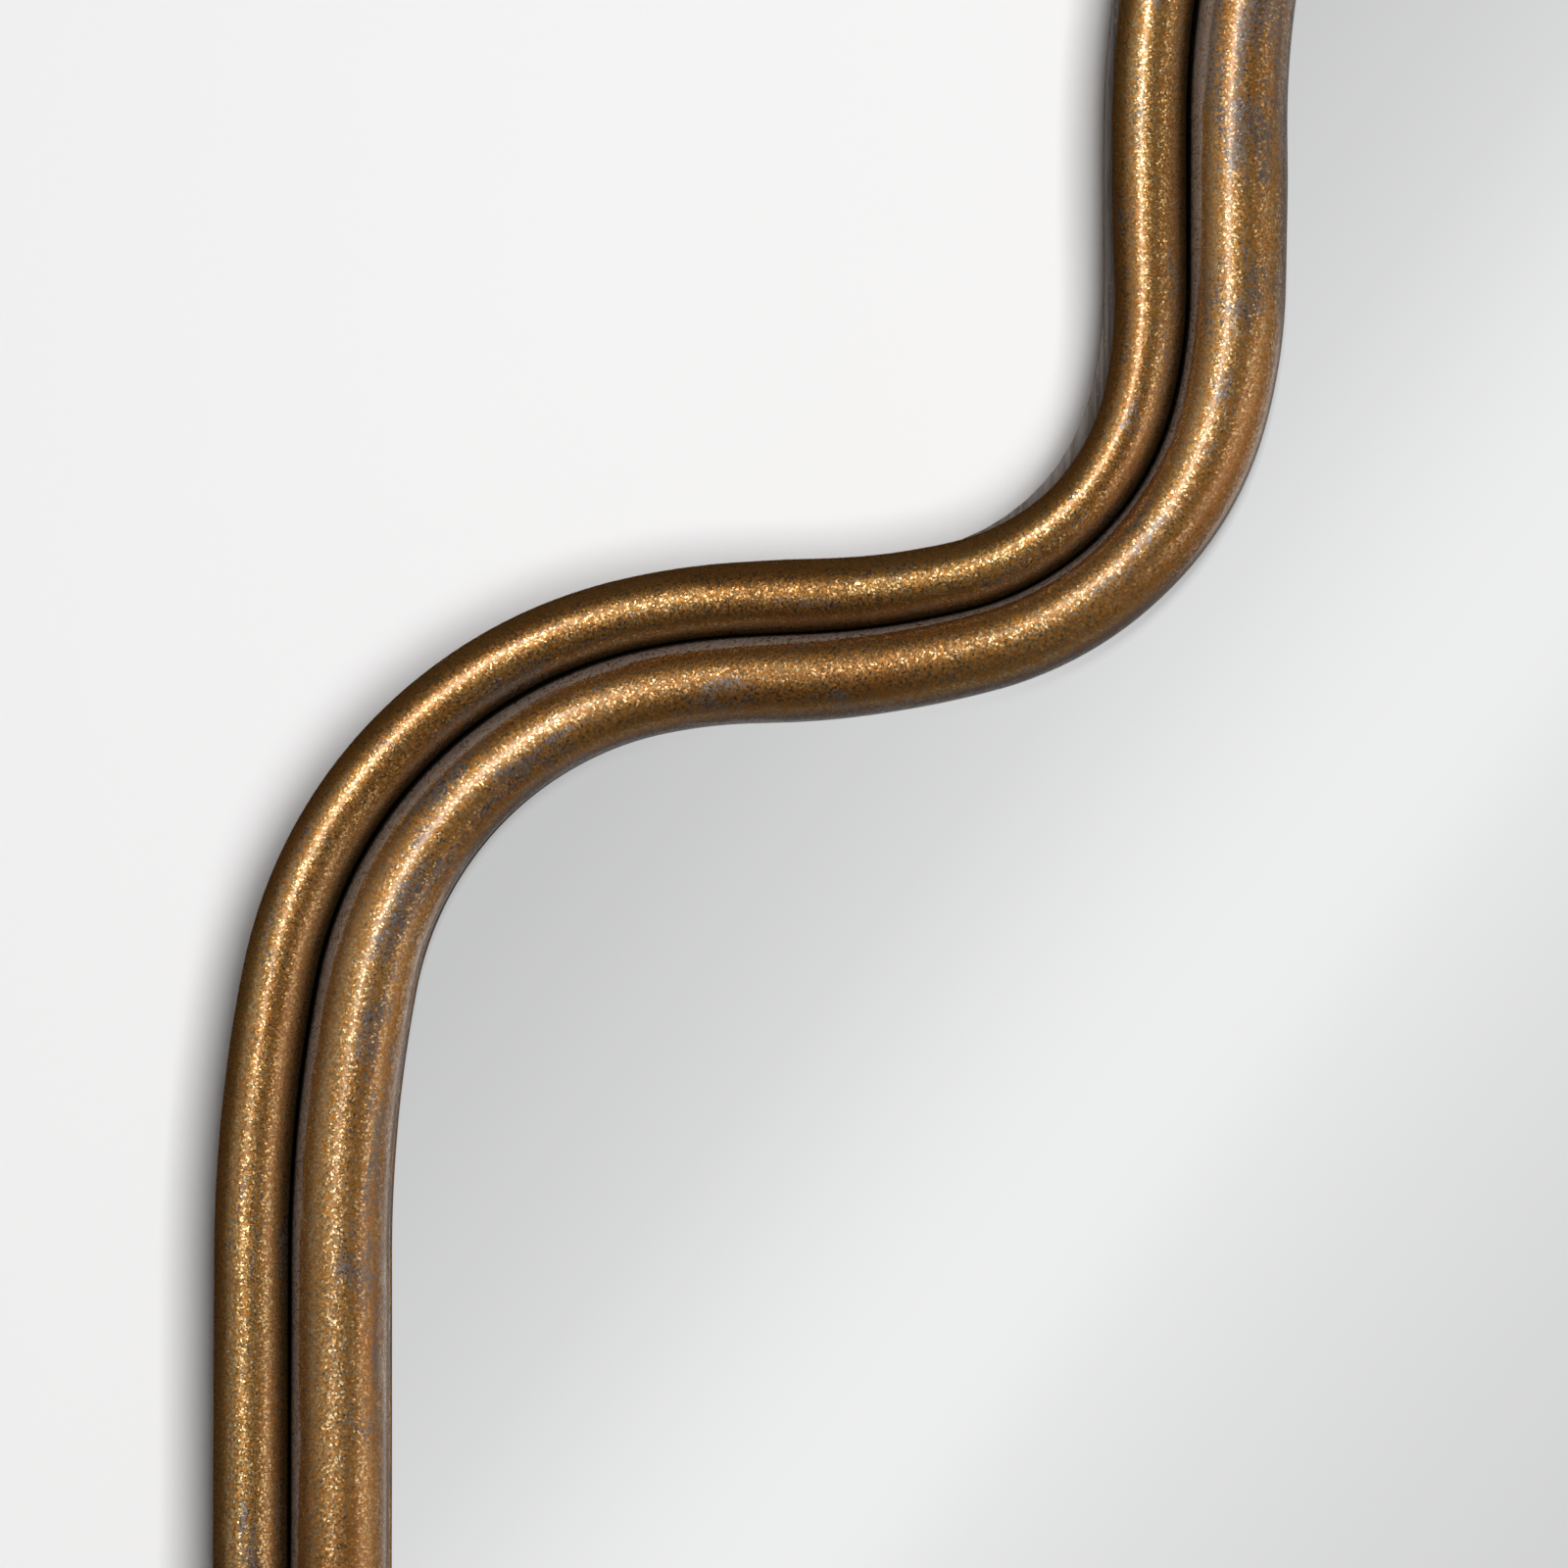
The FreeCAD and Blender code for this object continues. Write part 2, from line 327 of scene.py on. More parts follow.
# Rubbed gold leaf. A spread is repeats for each metre along a tube and round it, and for each half turn.
# A relief is a depth and a strength.
# Places round a tube are in half turns from its front, above zero on the side of the other tube.

FLAKES_PER_METRE = 2600
GRAINS_PER_METRE = 2600
PATCH_SPREAD = (42, 150, 1)
REGION_SPREAD = (7, 22, 1)
TONE_SPREAD = (18, 55, 1)
FLAKE_TILT = 0.22
GRAIN_RELIEF = (0.00006, 0.4)
TONE_RELIEF = (0.0004, 0.2)

# Worn patches: the share of the finer noise, how soft a patch's edge is, the share of its flakes
# that are missing, and how soft the edge of leaf is
PATCH_SHARE = 0.62
WORN_SOFTNESS = 0.09
WORN_LOSS = 0.80
BARE_SOFTNESS = 0.08

# The band beside the other tube where the leaf gives out, and how far the noises and a notch move it
BAND_REACH = (0.262, 0.292)
BAND_PATCH = 0.10
BAND_REGION = 0.12
BAND_NOTCH = 0.003

# Places round a tube where painted shade turns the leaf brown on the far side, where that shade ends
# behind, and where painted shade turns the crease between the tubes black
FAR_REACH = (-0.36, -0.22)
BEHIND_REACH = (-0.54, -0.47)
CREASE_REACH = (0.385, 0.44)

# Shades of the leaf: where its tone noise makes it deeper and by how much at most, and where
# a flake's random number makes it paler
DEEP_LEVELS = (0.40, 0.66)
DEEP_SHARE = 0.55
PALE_LEVELS = (0.35, 1.0)
DARKEST_LEAF = rgb(0.53, 0.23, 0.042)
DEEP_LEAF = rgb(0.43, 0.17, 0.035)
# painted shade: the brown that darkens the leaf on its flanks
SHADE_BROWN = rgb(0.10, 0.06, 0.035)
BARE_GROUND = (rgb(0.20, 0.15, 0.12), rgb(0.38, 0.31, 0.26))
# painted shade: the black in the crease between the tubes
CREASE_SHADE_BLACK = rgb(0.012, 0.008, 0.005)

# Gloss: metal of the darkest and the palest flakes, metal lost where the band is bare, roughness added
# on bare ground and at most on a flake, and the thin clear coat
LEAF_METAL = (0.92, 0.98)
BAND_CHALK = 0.54
BARE_ROUGHNESS = 0.06
FLAKE_ROUGHNESS = 0.1
COAT = 0.65
COAT_ROUGHNESS = 0.23

# What differs between the two tubes:
# shift moves the noises, palest is the colour of the palest flakes,
# worn is the level of the noise above which leaf is missing,
# contact is +1 or -1, the side on the other tube, and band_loss is how much leaf the band there lacks,
# near_dullness and far_dullness are painted shade, how far the leaf is turned brown on that side and on
# the side away from it, near_reach is where the first begins and is full,
# sheen is the roughness of the darkest and the palest flakes.
LEAF_FIELDS = "name shift palest worn contact band_loss near_dullness near_reach far_dullness sheen"
Leaf = namedtuple("Leaf", LEAF_FIELDS)
OUTER_LEAF = Leaf(
    name="gold_outer",
    shift=(3.1, 0.4, 0.0),
    palest=rgb(0.88, 0.69, 0.35),
    worn=0.535,
    contact=-1,
    band_loss=0.0,
    near_dullness=0.5,
    near_reach=(0.05, 0.32),
    far_dullness=0.0,
    sheen=(0.40, 0.26),
)
INNER_LEAF = Leaf(
    name="gold_inner",
    shift=(9.7, 2.3, 0.0),
    palest=rgb(0.70, 0.54, 0.30),
    worn=0.50,
    contact=1,
    band_loss=0.92,
    near_dullness=0.6,
    near_reach=(0.16, 0.32),
    far_dullness=0.93,
    sheen=(0.44, 0.28),
)


def leafless_band(g, leaf, side, patch, region):
    """where leaf gives out in a ragged line close to the other tube, nearer to that tube in a notch"""
    ragged = g.add(side, g.times(g.less(patch, 0.5), BAND_PATCH))
    ragged = g.add(ragged, g.times(g.less(region, 0.5), BAND_REGION))
    notch = g.math("MINIMUM", g.stored_number("bend"), 0.0)
    ragged = g.add(ragged, g.times(notch, BAND_NOTCH))
    return g.steps(ragged, *BAND_REACH, 0.0, leaf.band_loss)


def leaf_colour(g, leaf, side, pale, tone):
    """gold that deepens in clouds, with painted shade that turns it brown on the flanks"""
    gold = g.mix(pale, DARKEST_LEAF, leaf.palest)
    gold = g.mix(g.steps(tone, *DEEP_LEVELS, 0.0, DEEP_SHARE), gold, DEEP_LEAF)
    # painted shade: brown beside the other tube and on the flank away from it, ending behind the tube
    near = g.steps(side, *leaf.near_reach, 0.0, leaf.near_dullness)
    far = g.times(g.steps(side, *FAR_REACH, leaf.far_dullness, 0.0), g.steps(side, *BEHIND_REACH))
    return g.mix(g.add(near, far), gold, SHADE_BROWN)


def flake_relief(g, flake, grain, tone):
    """every flake lies at its own slight tilt, over a fine grain and soft dents"""
    tilt = g.vector_math("SUBTRACT", flake, (0.5, 0.5, 0.5))
    lean = g.vector_math("MULTIPLY_ADD", tilt, (FLAKE_TILT,) * 3, g.geometry("Normal"))
    level = g.vector_math("NORMALIZE", lean)
    return g.bump(tone, *TONE_RELIEF, g.bump(grain, *GRAIN_RELIEF, level))


def gilded(leaf):
    """rubbed gold leaf in small flakes over a grey-brown ground, with painted shade on the flanks and in
    the crease
    """
    g = Graph(leaf.name)
    place = g.object_place()
    flow = g.stored_vector("flow")
    side = g.times(g.split(flow)[2], float(leaf.contact))
    flake = g.cells(place, FLAKES_PER_METRE)
    pick, shade, rough = g.split(flake)
    pale = g.steps(shade, *PALE_LEVELS)
    grain = g.noise(place, GRAINS_PER_METRE, detail=2, roughness=0.6)
    patch = g.noise(g.stretch(flow, PATCH_SPREAD, leaf.shift), detail=5, roughness=0.7, distortion=0.3)
    region = g.noise(g.stretch(flow, REGION_SPREAD, leaf.shift), detail=2, roughness=0.5)
    tone = g.noise(g.stretch(flow, TONE_SPREAD, leaf.shift), detail=3, roughness=0.55)
    worn = g.add(g.times(patch, PATCH_SHARE), g.times(region, 1 - PATCH_SHARE))
    worn = g.steps(worn, leaf.worn, leaf.worn + WORN_SOFTNESS, 0.0, WORN_LOSS)
    band = leafless_band(g, leaf, side, patch, region)
    bare = g.steps(g.less(g.math("MAXIMUM", worn, band), pick), 0.0, BARE_SOFTNESS)
    colour = g.mix(bare, leaf_colour(g, leaf, side, pale, tone), g.mix(grain, *BARE_GROUND))
    # painted shade: the crease between the tubes turns black
    colour = g.mix(g.steps(side, *CREASE_REACH), colour, CREASE_SHADE_BLACK)
    metal = g.less(g.steps(pale, 0.0, 1.0, *LEAF_METAL), g.times(g.times(bare, band), BAND_CHALK))
    blur = g.add(g.steps(pale, 0.0, 1.0, *leaf.sheen), g.times(bare, BARE_ROUGHNESS))
    blur = g.add(blur, g.times(rough, FLAKE_ROUGHNESS))
    g.set(Base_Color=colour, Metallic=metal, Roughness=blur, Normal=flake_relief(g, flake, grain, tone))
    g.set(Coat_Weight=COAT, Coat_Roughness=COAT_ROUGHNESS)
    return g.material


# Other finishes. Scales are in grains for each metre, bump depths in metres.


def ground_coat():
    """brown-grey coat of the plate, streaked along the neck, its gold rubbed thin"""
    dark = rgb(0.085, 0.062, 0.046)
    pale = rgb(0.21, 0.185, 0.17)
    gold = rgb(0.30, 0.19, 0.09)
    g = Graph("plate_ground")
    place = g.object_place()
    grain = g.noise(place, 900, detail=3, roughness=0.6)
    streak = g.noise(g.stretch(place, (900, 500, 45)), detail=4, roughness=0.6, distortion=0.6)
    colour = g.mix(g.steps(streak, 0.35, 0.65), dark, pale)
    colour = g.mix(g.steps(grain, 0.62, 0.72), colour, gold)
    g.set(Base_Color=colour, Metallic=0.15, Roughness=g.steps(streak, 0.3, 0.7, 0.45, 0.62))
    g.set(Normal=g.bump(streak, 0.0003, 0.5, g.bump(grain, 0.0001, 0.5)))
    return g.material


def silvered():
    """mirror face: clean in the middle, with a narrow band of painted shade, a stand-in for the tubes'
    dark reflection and shadow, along the upright runs of the frame
    """
    clean = rgb(0.93, 0.935, 0.935)
    shaded_silver = rgb(0.40, 0.40, 0.39)
    g = Graph("silvered_glass")
    haze = g.noise(g.object_place(), 6, detail=3)
    # painted shade beside the tubes, a stand-in for their dark reflection and shadow in the glass
    colour = g.mix(g.stored_number("rim"), clean, shaded_silver)
    g.set(Base_Color=colour, Metallic=1.0, Roughness=g.steps(haze, 0.2, 0.8, 0.012, 0.03))
    return g.material


def edge_glass():
    """ground green edge and back of the glass"""
    deep = rgb(0.16, 0.26, 0.21)
    pale = rgb(0.28, 0.38, 0.33)
    g = Graph("glass_edge")
    grain = g.noise(g.object_place(), 1200)
    g.set(Base_Color=g.mix(grain, deep, pale), Roughness=g.steps(grain, 0.3, 0.7, 0.25, 0.4))
    g.set(Normal=g.bump(grain, 0.0001, 0.3))
    return g.material


def fibreboard():
    """bare fibreboard behind, its edge painted dark"""
    dark_fibre = rgb(0.23, 0.135, 0.065)
    pale_fibre = rgb(0.42, 0.275, 0.15)
    stain = rgb(0.26, 0.16, 0.085)
    dark_paint = rgb(0.03, 0.024, 0.019)
    pale_paint = rgb(0.06, 0.05, 0.042)
    g = Graph("fibreboard")
    place = g.object_place()
    fibre = g.noise(g.stretch(place, (420, 900, 900)), detail=5, roughness=0.65, distortion=0.5)
    cloud = g.noise(place, 9, detail=4, roughness=0.55)
    bare = g.mix(fibre, dark_fibre, pale_fibre)
    bare = g.mix(g.steps(cloud, 0.4, 0.7, 0.0, 0.35), bare, stain)
    paint = g.mix(fibre, dark_paint, pale_paint)
    behind = g.steps(g.object_normal(1), 0.8, 0.95)
    g.set(Base_Color=g.mix(behind, paint, bare), Roughness=g.steps(fibre, 0.3, 0.7, 0.62, 0.8))
    g.set(Normal=g.bump(fibre, 0.0003, 0.4))
    return g.material


def zinc(name, scale):
    """zinc plating with a fine grain and faint bloom"""
    bright = rgb(0.58, 0.59, 0.60)
    bloomed = rgb(0.42, 0.43, 0.46)
    g = Graph(name)
    place = g.object_place()
    grain = g.noise(g.stretch(place, scale), detail=3, roughness=0.6)
    bloom = g.noise(place, 160, detail=3, roughness=0.55)
    colour = g.mix(g.steps(bloom, 0.4, 0.7), bright, bloomed)
    g.set(Base_Color=colour, Metallic=1.0, Roughness=g.steps(grain, 0.3, 0.7, 0.26, 0.42))
    g.set(Normal=g.bump(grain, 0.00004, 0.4))
    return g.material


def rubber():
    """matt black rubber"""
    black = rgb(0.012, 0.012, 0.013)
    worn = rgb(0.035, 0.035, 0.036)
    g = Graph("bumper_rubber")
    grain = g.noise(g.object_place(), 1400, detail=3, roughness=0.6)
    g.set(Base_Color=g.mix(grain, black, worn), Roughness=g.steps(grain, 0.3, 0.7, 0.55, 0.75))
    g.set(Normal=g.bump(grain, 0.0001, 0.5))
    return g.material


def foam():
    """white foam tape"""
    shade = rgb(0.62, 0.62, 0.60)
    white = rgb(0.78, 0.78, 0.76)
    g = Graph("foam_tape")
    pores = g.split(g.cells(g.object_place(), 1300))[0]
    g.set(Base_Color=g.mix(pores, shade, white), Roughness=g.steps(pores, 0.0, 1.0, 0.7, 0.85))
    g.set(Normal=g.bump(pores, 0.0001, 0.5))
    return g.material


OUTER_GOLD = gilded(OUTER_LEAF)
INNER_GOLD = gilded(INNER_LEAF)
GROUND = ground_coat()
SILVER = silvered()
GLASS_EDGE = edge_glass()
BOARD = fibreboard()
ZINC = zinc("zinc_plate", (2500, 2500, 500))
ZINC_WIRE = zinc("zinc_wire", (900, 2500, 2500))
RUBBER = rubber()
FOAM = foam()

# Tubes. They are a little wider where they run upright and a little narrower in a sharp bend.
# They stay in touch all the way.
# widths are a share of the radius, its growth where upright, and its loss in a lobe and in a notch,
# the last two for a bend of one radian per metre.
# lean moves the front outwards where upright and, below zero, inwards in a lobe, again for such a bend.
# BEND_SPREAD is how many samples to either side the bend of a sample is evened out over.

TUBE_SIDES = 48
BEND_SPREAD = 12
WANDER = 0.00024
WANDER_SCALE = 9.0
DENT = 0.00005
DENT_SCALE = 40.0
DENT_TURN_SCALE = 0.6
INNER_SEED = 2.0
SHORTEST = 1e-6

TubeSizes = namedtuple("TubeSizes", "offset radius y widths lean")
OUTER_TUBE = TubeSizes(OUTER_OFFSET, OUTER_R, OUTER_Y, (0.973, 0.027, 0.0025, 0.0058), (0.0007, 0.0))
INNER_TUBE = TubeSizes(INNER_OFFSET, INNER_R, INNER_Y, (0.967, 0.124, 0.0024, 0.0040), (0.0, -0.0001))


def bending():
    """bend of each sample of the left half, in radians per metre, evened out; above zero in a lobe"""
    bend = []
    for i in range(len(ROUTE)):
        before = ROUTE[max(0, i - 1)]
        after = ROUTE[min(len(ROUTE) - 1, i + 1)]
        swing = before[1].y * after[1].x - before[1].x * after[1].y
        bend.append(swing / max((after[0] - before[0]).length, SHORTEST))
    even = []
    for i in range(len(bend)):
        near = bend[max(0, i - BEND_SPREAD):i + BEND_SPREAD + 1]
        even.append(sum(near) / len(near))
    return even


SAMPLE_BENDS = bending()


def half_width(sizes, out, bend):
    """how far a tube reaches to either side, in the mirror's plane"""
    share, upright, lobe, notch = sizes.widths
    width = share + upright * out.x ** 2 - lobe * max(0.0, bend) - notch * max(0.0, -bend)
    return sizes.radius * width


def tube(name, node, sizes, material, side, seed):
    """half of a tube ring; side is -1 for the left half and 1 for the right half"""
    verts = []
    flow = []
    bends = []
    length = 0.0
    last = None
    for (point, out), bend in zip(ROUTE, SAMPLE_BENDS):
        centre = point + out * sizes.offset
        if last is not None:
            length += (centre - last).length
        last = centre
        wander = WANDER * noise.noise(Vector((point.x, side, point.y)) * WANDER_SCALE)
        wide = half_width(sizes, out, bend)
        shift = math.copysign(1, sizes.offset) * (wide - sizes.radius) + wander
        skew = sizes.lean[0] * out.x ** 2 + sizes.lean[1] * max(0.0, bend)
        for k in range(TUBE_SIDES):
            turn = 2 * math.pi * k / TUBE_SIDES - math.pi
            place = Vector((centre.x * DENT_SCALE, turn * DENT_TURN_SCALE + seed, centre.y * DENT_SCALE))
            dent = DENT * (noise.noise(place) - 1)
            reach = shift + (wide + dent) * math.sin(turn) + skew * math.cos(turn)
            spot = point + out * (sizes.offset + reach)
            verts.append((-side * spot.x, sizes.y - (sizes.radius + dent) * math.cos(turn), spot.y))
            flow.append((side * length, turn * sizes.radius, turn / math.pi))
            bends.append(bend)
    faces = []
    for i in range(len(ROUTE) - 1):
        for k in range(TUBE_SIDES):
            a = i * TUBE_SIDES + k
            b = i * TUBE_SIDES + (k + 1) % TUBE_SIDES
            quad = (a, b, b + TUBE_SIDES, a + TUBE_SIDES)
            faces.append(quad if side < 0 else quad[::-1])
    piece = mesh_piece(name, verts, faces, material)
    store_vectors(piece, "flow", flow)
    store_numbers(piece, "bend", bends)
    return keep(piece, "mirror", "gilded_tube", node)


for label, side, seed in (("left", -1, 0.0), ("right", 1, 4.0)):
    tube("outer_ring_" + label, "outer_tube_" + label, OUTER_TUBE, OUTER_GOLD, side, seed)
    tube("inner_ring_" + label, "inner_tube_" + label, INNER_TUBE, INNER_GOLD, side, seed + INNER_SEED)

# Mirror glass, with rows of points along the frame for its rim, where painted shade stands in for the
# tubes' dark reflection and shadow.
# The painted shade of the rim is full at the edge of the tubes and nothing at the last depth.

RIM_DEPTHS = (0.0, 0.0004, 0.0012, 0.0022)
RIM_SHADE = (1.0, 0.9, 0.35, 0.0)
POLISH = 0.0006


def pane():
    """sheet of glass with a narrow polished edge"""
    edge = -PAIR / 2
    rows = [
        (GLASS_OFFSET, glass_high[1], 0.0),
        (GLASS_OFFSET, glass_low[1] + POLISH, 0.0),
        (GLASS_OFFSET - POLISH, glass_low[1], 1.0),
    ]
    # rows of painted shade beside the tubes
    rows += [(edge - depth, glass_low[1], shade_level) for depth, shade_level in zip(RIM_DEPTHS, RIM_SHADE)]
    upright = [out.x ** 2 for point, out in ROUTE]
    upright += upright[-2:0:-1]
    verts = []
    rim = []
    for offset, y, shade_level in rows:
        verts += loop(offset, y)
        # painted shade only where the frame runs upright
        rim += [shade_level * share for share in upright]
    count = len(upright)
    faces = []
    for row in range(len(rows) - 1):
        for i in range(count):
            a = row * count + i
            b = row * count + (i + 1) % count
            faces.append((a, b, b + count, a + count))
    faces.append(tuple(range((len(rows) - 1) * count, len(rows) * count)))
    faces.append(tuple(reversed(range(count))))
    piece = mesh_piece("mirror_pane", verts, faces, SILVER, smooth=False)
    piece.data.materials.append(GLASS_EDGE)
    for face in piece.data.polygons:
        if max(verts[v][1] for v in face.vertices) > glass_low[1] + POLISH / 2:
            face.material_index = 1
    store_numbers(piece, "rim", rim)
    return keep(piece, "mirror", "mirror_glass", "mirror_glass")


PANE = pane()

# Solids whose shape is right as it is, with their finishes

TAPE_COUNT = 5
FINISHES = {
    "frame_plate_upper": GROUND,
    "frame_plate_lower": GROUND,
    "backing_board": BOARD,
    "board_screws": ZINC,
    "hanger_screws": ZINC,
    "hanger_strap_left": ZINC,
    "hanger_strap_right": ZINC,
    "hanger_ring_left": ZINC_WIRE,
    "hanger_ring_right": ZINC_WIRE,
    "bumpers": RUBBER,
}


def dress(node, material):
    """gives a solid its finish"""
    materials = frame["nodes"][node].data.materials
    materials.clear()
    materials.append(material)


for node, finish in FINISHES.items():
    dress(node, finish)
for i in range(TAPE_COUNT):
    dress("mounting_tape_%d" % (i + 1), FOAM)

# Stage: a pale wall with an opening hidden behind the mirror, a pale floor and soft light

WALL_HALF_WIDTH = 1.5
WALL_TOP = 1.3
OPENING_OFFSET = 0.002
FLOOR_Z = -0.85
FLOOR_HALF = 20.0
WALL_COLOUR = rgb(0.86, 0.855, 0.855)
FLOOR_COLOUR = rgb(0.80, 0.795, 0.79)
CLOUD_COLOUR = rgb(0.7, 0.7, 0.7)
CLOUD_SHARE = 0.03
FLOOR_GLOW = rgb(0.82, 0.815, 0.81)
FLOOR_GLOW_SHARE = 0.9
GLOSS_COLOUR = rgb(0.030, 0.017, 0.007)


def pale_paint(name, colour, scale):
    """matt paint with faint clouds"""
    g = Graph(name)
    cloud = g.steps(g.noise(g.object_place(), scale, detail=3), 0.3, 0.7, 0.0, CLOUD_SHARE)
    g.set(Base_Color=g.mix(cloud, colour, CLOUD_COLOUR), Roughness=0.9, Specular_IOR_Level=0.0)
    return g


def overlay(g, kind, share, other):
    """blends another shader over the surface by a share, for one kind of ray"""
    blend = g.nodes.new("ShaderNodeMixShader")
    g.put(blend.inputs[0], g.times(g.light_path(kind), share))
    g.put(blend.inputs[1], g.surface.links[0].from_socket)
    g.put(blend.inputs[2], other)
    g.put(g.surface, blend.outputs[0])


def glow(g, colour, strength=1.0):
    """light of a colour"""
    node = g.nodes.new("ShaderNodeEmission")
    g.put(node.inputs["Color"], colour)
    g.put(node.inputs["Strength"], strength)
    return node.outputs[0]


def wall_paint():
    """as dim as the room in the gloss of the object, and no bar to a camera behind it"""
    g = pale_paint("wall_paint", WALL_COLOUR, 3.0)
    clear = g.nodes.new("ShaderNodeBsdfTransparent").outputs[0]
    overlay(g, "Is Camera Ray", g.geometry("Backfacing"), clear)
    overlay(g, "Is Glossy Ray", 1.0, glow(g, GLOSS_COLOUR))
    return g.material


def floor_paint():
    """seen by the camera as mostly an even pale tone, with a faint shadow"""
    g = pale_paint("floor_paint", FLOOR_COLOUR, 2.0)
    overlay(g, "Is Camera Ray", FLOOR_GLOW_SHARE, glow(g, FLOOR_GLOW))
    return g.material


def wall():
    """wall panel facing the room, open behind the mirror"""
    work = bmesh.new()
    corners = [(-1, FLOOR_Z), (1, FLOOR_Z), (1, WALL_TOP), (-1, WALL_TOP)]
    outer = [work.verts.new((x * WALL_HALF_WIDTH, WALL_Y, z)) for x, z in corners]
    inner = [work.verts.new(place) for place in loop(OPENING_OFFSET, WALL_Y)]
    for ring in (outer, inner):
        for a, b in zip(ring, ring[1:] + ring[:1]):
            work.edges.new((a, b))
    bmesh.ops.triangle_fill(work, edges=work.edges[:], use_beauty=True, use_dissolve=False)
    for face in work.faces:
        face.normal_update()
        if face.normal.y > 0:
            face.normal_flip()
    mesh = bpy.data.meshes.new("wall")
    work.to_mesh(mesh)
    work.free()
    mesh.materials.append(wall_paint())
    panel = bpy.data.objects.new("wall", mesh)
    bpy.context.scene.collection.objects.link(panel)


def floor():
    """large level floor that only the camera sees"""
    signs = [(-1, -1), (1, -1), (1, 1), (-1, 1)]
    corners = [(x * FLOOR_HALF, y * FLOOR_HALF, FLOOR_Z) for x, y in signs]
    plane = mesh_piece("floor", corners, [(0, 1, 2, 3)], floor_paint(), smooth=False)
    plane.visible_glossy = False
    plane.visible_diffuse = False


wall()
floor()

# What the glass reflects: a soft dome whose tone runs diagonally, seen by the glass alone.
# A ray that has met a tube before the glass sees it dimmer.

DOME_R = 3.0
DOME_ROWS = 24
DOME_COLUMNS = 48
DOME_ANGLE = math.radians(38)
DOME_TONES = (
    (0.0, 0.45), (0.30, 0.60), (0.37, 0.73), (0.415, 0.87), (0.44, 0.915),
    (0.46, 0.915), (0.49, 0.835), (0.53, 0.775), (0.60, 0.70), (1.0, 0.50),
)
SECOND_BOUNCE = (1.2, 1.8)
SECOND_BOUNCE_TONE = 0.5


def dome_light():
    """diagonal ramp of grey tones across the dome"""
    g = Graph("dome_light")
    place = g.split(g.object_place())
    across = g.times(place[0], math.cos(DOME_ANGLE) / 2)
    slope = g.less(across, g.times(place[2], math.sin(DOME_ANGLE) / 2))
    ramp = g.nodes.new("ShaderNodeValToRGB")
    g.put(ramp.inputs[0], g.add(slope, 0.5))
    stops = ramp.color_ramp.elements
    for stop, (position, tone) in zip(stops, (DOME_TONES[0], DOME_TONES[-1])):
        stop.position = position
        stop.color = grey(tone)
    for position, tone in DOME_TONES[1:-1]:
        stops.new(position).color = grey(tone)
    strength = g.steps(g.light_path("Glossy Depth"), *SECOND_BOUNCE, 1.0, SECOND_BOUNCE_TONE)
    g.put(g.surface, glow(g, ramp.outputs[0], strength))
    return g.material


def dome():
    """half sphere in front of the mirror"""
    verts = []
    faces = []
    for i in range(DOME_ROWS + 1):
        rise = math.pi / 2 * i / DOME_ROWS
        r = DOME_R * math.cos(rise)
        for k in range(DOME_COLUMNS):
            turn = 2 * math.pi * k / DOME_COLUMNS
            verts.append((r * math.cos(turn), -DOME_R * math.sin(rise), r * math.sin(turn)))
    for i in range(DOME_ROWS):
        for k in range(DOME_COLUMNS):
            a = i * DOME_COLUMNS + k
            b = i * DOME_COLUMNS + (k + 1) % DOME_COLUMNS
            faces.append((a, b, b + DOME_COLUMNS, a + DOME_COLUMNS))
    shell = mesh_piece("dome", verts, faces, dome_light())
    shell.visible_camera = False
    shell.visible_diffuse = False
    shell.visible_shadow = False
    shell.visible_transmission = False
    glass_only = bpy.data.collections.new("glass_only")
    glass_only.objects.link(PANE)
    shell.light_linking.receiver_collection = glass_only


dome()


def aimed(azimuth, elevation, distance):
    """place in front of the mirror; azimuth grows to the right"""
    a = math.radians(azimuth)
    e = math.radians(elevation)
    return (
        distance * math.sin(a) * math.cos(e),
        -distance * math.cos(a) * math.cos(e),
        distance * math.sin(e),
    )


# Soft boxes. A size is a width and a height. wall_box lights the matt surfaces, the strips are seen
# in the gloss alone, and back_box lights the rear.

WHITE = (1.0, 1.0, 1.0)
WARM = (1.0, 0.86, 0.72)

Lamp = namedtuple("Lamp", "name place size power tint glossy diffuse")
LAMPS = (
    Lamp("wall_box", aimed(6, 9.5, 2.6), (1.0, 2.0), 77, WHITE, glossy=False, diffuse=True),
    Lamp("key_strip", aimed(-24, 20, 2.4), (0.20, 1.25), 19, WHITE, glossy=True, diffuse=False),
    Lamp("side_strip", aimed(-62, 12, 2.4), (1.2, 1.6), 2, WHITE, glossy=True, diffuse=False),
    Lamp("fill_strip", aimed(46, -9, 2.4), (0.8, 1.3), 6.5, WARM, glossy=True, diffuse=False),
    Lamp("far_strip", aimed(66, -5, 2.4), (1.2, 1.3), 4, WARM, glossy=True, diffuse=False),
    Lamp("back_box", (0.6, 2.2, 0.7), (2.8, 2.8), 62, WHITE, glossy=True, diffuse=True),
)


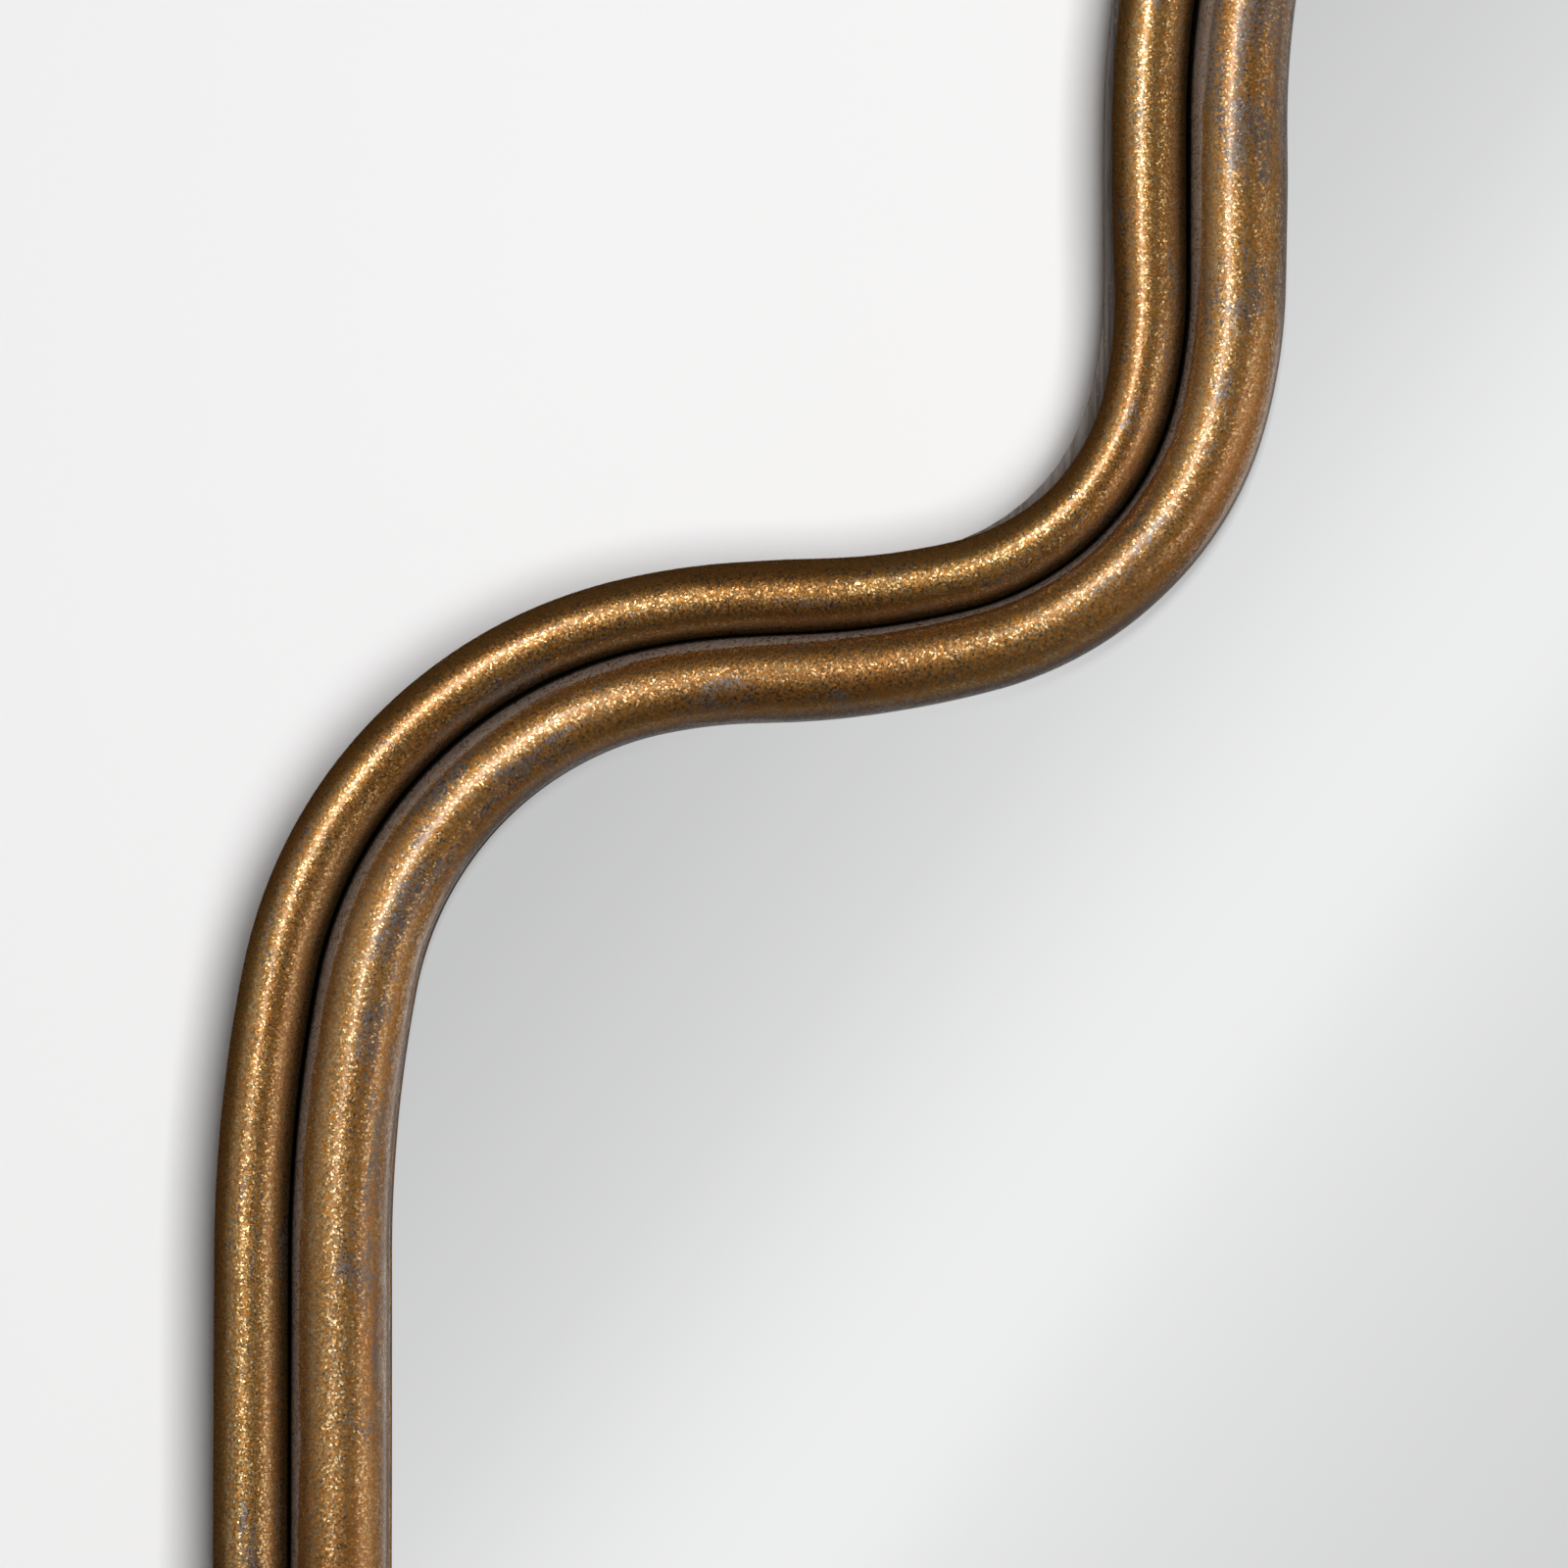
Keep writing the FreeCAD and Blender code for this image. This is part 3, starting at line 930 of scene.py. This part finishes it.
def light(lamp):
    """soft box that faces the middle of the mirror"""
    data = bpy.data.lights.new(lamp.name, "AREA")
    data.shape = "RECTANGLE"
    data.size, data.size_y = lamp.size
    data.energy = lamp.power
    data.color = lamp.tint
    box = bpy.data.objects.new(lamp.name, data)
    bpy.context.scene.collection.objects.link(box)
    box.location = lamp.place
    box.rotation_euler = (-Vector(lamp.place)).to_track_quat("-Z", "Y").to_euler()
    box.visible_camera = False
    box.visible_glossy = lamp.glossy
    box.visible_diffuse = lamp.diffuse


for lamp in LAMPS:
    light(lamp)

CAMERA_TONE = 0.90
AMBIENT_TONE = 0.07


def world():
    """pale to the camera, dimmer to the object and dimmer still in its gloss"""
    room = bpy.data.worlds.new("room")
    room.use_nodes = True
    bpy.context.scene.world = room
    nodes = room.node_tree.nodes
    links = room.node_tree.links
    path = nodes.new("ShaderNodeLightPath")
    sky = nodes["Background"]
    sky.inputs["Color"].default_value = grey(AMBIENT_TONE)
    for kind, colour in (("Is Glossy Ray", GLOSS_COLOUR), ("Is Camera Ray", grey(CAMERA_TONE))):
        seen = nodes.new("ShaderNodeBackground")
        seen.inputs["Color"].default_value = colour
        blend = nodes.new("ShaderNodeMixShader")
        links.new(path.outputs[kind], blend.inputs[0])
        links.new(sky.outputs[0], blend.inputs[1])
        links.new(seen.outputs[0], blend.inputs[2])
        sky = blend
    links.new(sky.outputs[0], nodes["World Output"].inputs["Surface"])


world()

# Camera: square on, close to the upper left corner as in the photograph.
# The middle of the mirror would be at the zero column and row, in pixels, and the camera stands
# back from the tubes by its distance in pixels.

PIXELS = 1600
PIXELS_PER_METRE = 4900
CAMERA_PIXELS = 10780
ZERO_COLUMN = 1960
ZERO_ROW = 1955.5
CLIP_START = 0.01


def camera():
    """camera whose picture is the square of the photograph"""
    data = bpy.data.cameras.new("camera")
    data.angle = 2 * math.atan(PIXELS / 2 / CAMERA_PIXELS)
    data.clip_start = CLIP_START
    view = bpy.data.objects.new("camera", data)
    bpy.context.scene.collection.objects.link(view)
    x = (PIXELS / 2 - ZERO_COLUMN) / PIXELS_PER_METRE
    z = (ZERO_ROW - PIXELS / 2) / PIXELS_PER_METRE
    view.location = (x, OUTER_Y - CAMERA_PIXELS / PIXELS_PER_METRE, z)
    view.rotation_euler = (math.radians(90), 0, 0)
    bpy.context.scene.camera = view


camera()
bpy.context.scene.view_settings.view_transform = "Standard"
